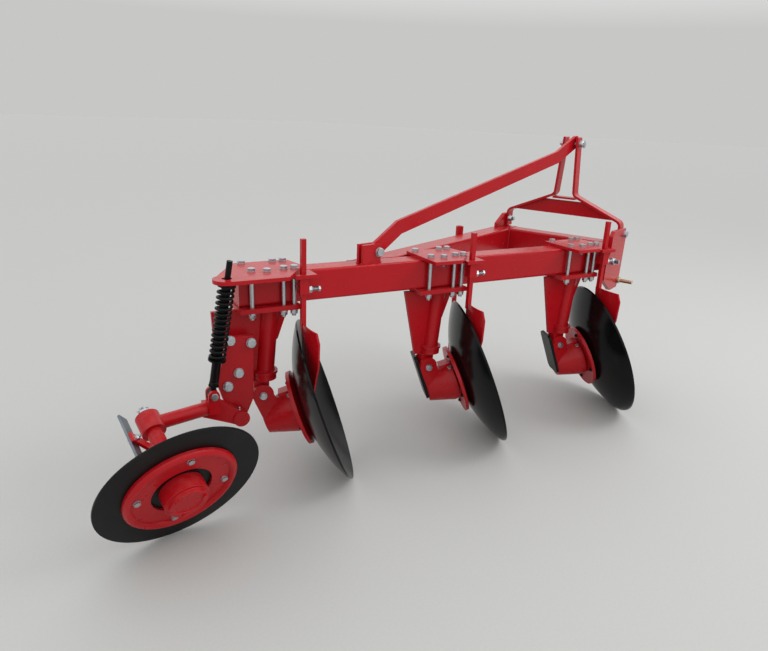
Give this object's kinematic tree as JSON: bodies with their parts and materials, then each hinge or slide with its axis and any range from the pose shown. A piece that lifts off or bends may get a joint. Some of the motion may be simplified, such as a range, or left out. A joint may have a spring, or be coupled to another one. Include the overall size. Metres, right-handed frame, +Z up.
{
  "type": "mounted disc plough",
  "caption": "Mounted disc plough: tilted dished discs on legs clamped under a slanting box beam, with a mast, a sprung furrow wheel, scrapers and a parking stand.",
  "frame": {"origin": "on the ground, below the centre of the outer box", "axes": "+X forward, the way the plough is carried and pulled, +Y to its left, +Z up"},
  "size_m": [2.5595, 1.1793, 1.3201],
  "materials": {
    "red_paint": "gloss",
    "black_paint": "gloss",
    "zinc": "satin",
    "yellow_zinc": "satin",
    "bare_steel": "satin"
  },
  "bodies": {
    "plough_frame": {"back_plate_front": "black_paint", "back_plate_middle": "black_paint", "carrier_bolt_front": "zinc", "carrier_bolt_middle": "zinc", "carrier_bolt_rear": "zinc", "clamp_plate_front": "red_paint", "clamp_plate_middle": "red_paint", "clamp_plate_rear": "red_paint", "clamp_studs_front": "zinc", "clamp_studs_middle": "zinc", "clamp_studs_rear": "zinc", "clevis_pin": "zinc", "cross_beam": "red_paint", "hitch_plate_left": "red_paint", "hitch_plate_right": "red_paint", "hub_carrier_front": "red_paint", "hub_carrier_middle": "red_paint", "hub_carrier_rear": "red_paint", "lower_pin_left": "yellow_zinc", "lower_pin_right": "yellow_zinc", "main_beam": "red_paint", "mast_bar_left": "red_paint", "mast_bar_right": "red_paint", "mast_gusset": "red_paint", "mast_stay": "red_paint", "pivot_bolt": "zinc", "scraper_front": "red_paint", "scraper_holder_front": "red_paint", "scraper_holder_middle": "red_paint", "scraper_holder_rear": "red_paint", "scraper_lug": "red_paint", "scraper_middle": "red_paint", "scraper_rear": "red_paint", "side_beam": "red_paint", "spring_coil": "black_paint", "spring_rod": "black_paint", "stand_screw": "zinc", "stand_sleeve": "red_paint", "standard_front": "red_paint", "standard_middle": "red_paint", "standard_rear": "red_paint", "stay_bolt": "zinc", "stay_bracket": "red_paint", "top_pin": "zinc", "wheel_arm": "red_paint", "wheel_axle": "zinc", "wheel_bracket": "red_paint", "wheel_scraper": "bare_steel"},
    "disc_front_turning": {"hub_flange_front": "red_paint", "disc_front": "black_paint"},
    "disc_middle_turning": {"hub_flange_middle": "red_paint", "disc_middle": "black_paint"},
    "disc_rear_turning": {"hub_flange_rear": "red_paint", "disc_rear": "black_paint"},
    "furrow_wheel": {"wheel_rim": "black_paint", "wheel_ring": "red_paint", "wheel_hub": "red_paint"},
    "stand_leg": {"parking_stand": "red_paint"}
  },
  "joints": [
    {"name": "disc_front_spin", "type": "hinge", "parent": "plough_frame", "child": "disc_front_turning", "pos_m": [1.03213, -0.34406, 0.3101], "axis": [0.661, -0.6679, 0.342], "continuous": true},
    {"name": "disc_middle_spin", "type": "hinge", "parent": "plough_frame", "child": "disc_middle_turning", "pos_m": [0.3455, -0.02534, 0.3101], "axis": [0.661, -0.6679, 0.342], "continuous": true},
    {"name": "disc_rear_spin", "type": "hinge", "parent": "plough_frame", "child": "disc_rear_turning", "pos_m": [-0.32753, 0.28707, 0.3101], "axis": [0.661, -0.6679, 0.342], "continuous": true},
    {"name": "furrow_wheel_spin", "type": "hinge", "parent": "plough_frame", "child": "furrow_wheel", "pos_m": [-1.0168, 0.2866, 0.2459], "axis": [-0.225, -0.8764, -0.4258], "continuous": true},
    {"name": "stand_slide", "type": "slide", "parent": "plough_frame", "child": "stand_leg", "axis": [0, 0, 1], "range_m": [0, 0.45]}
  ]
}
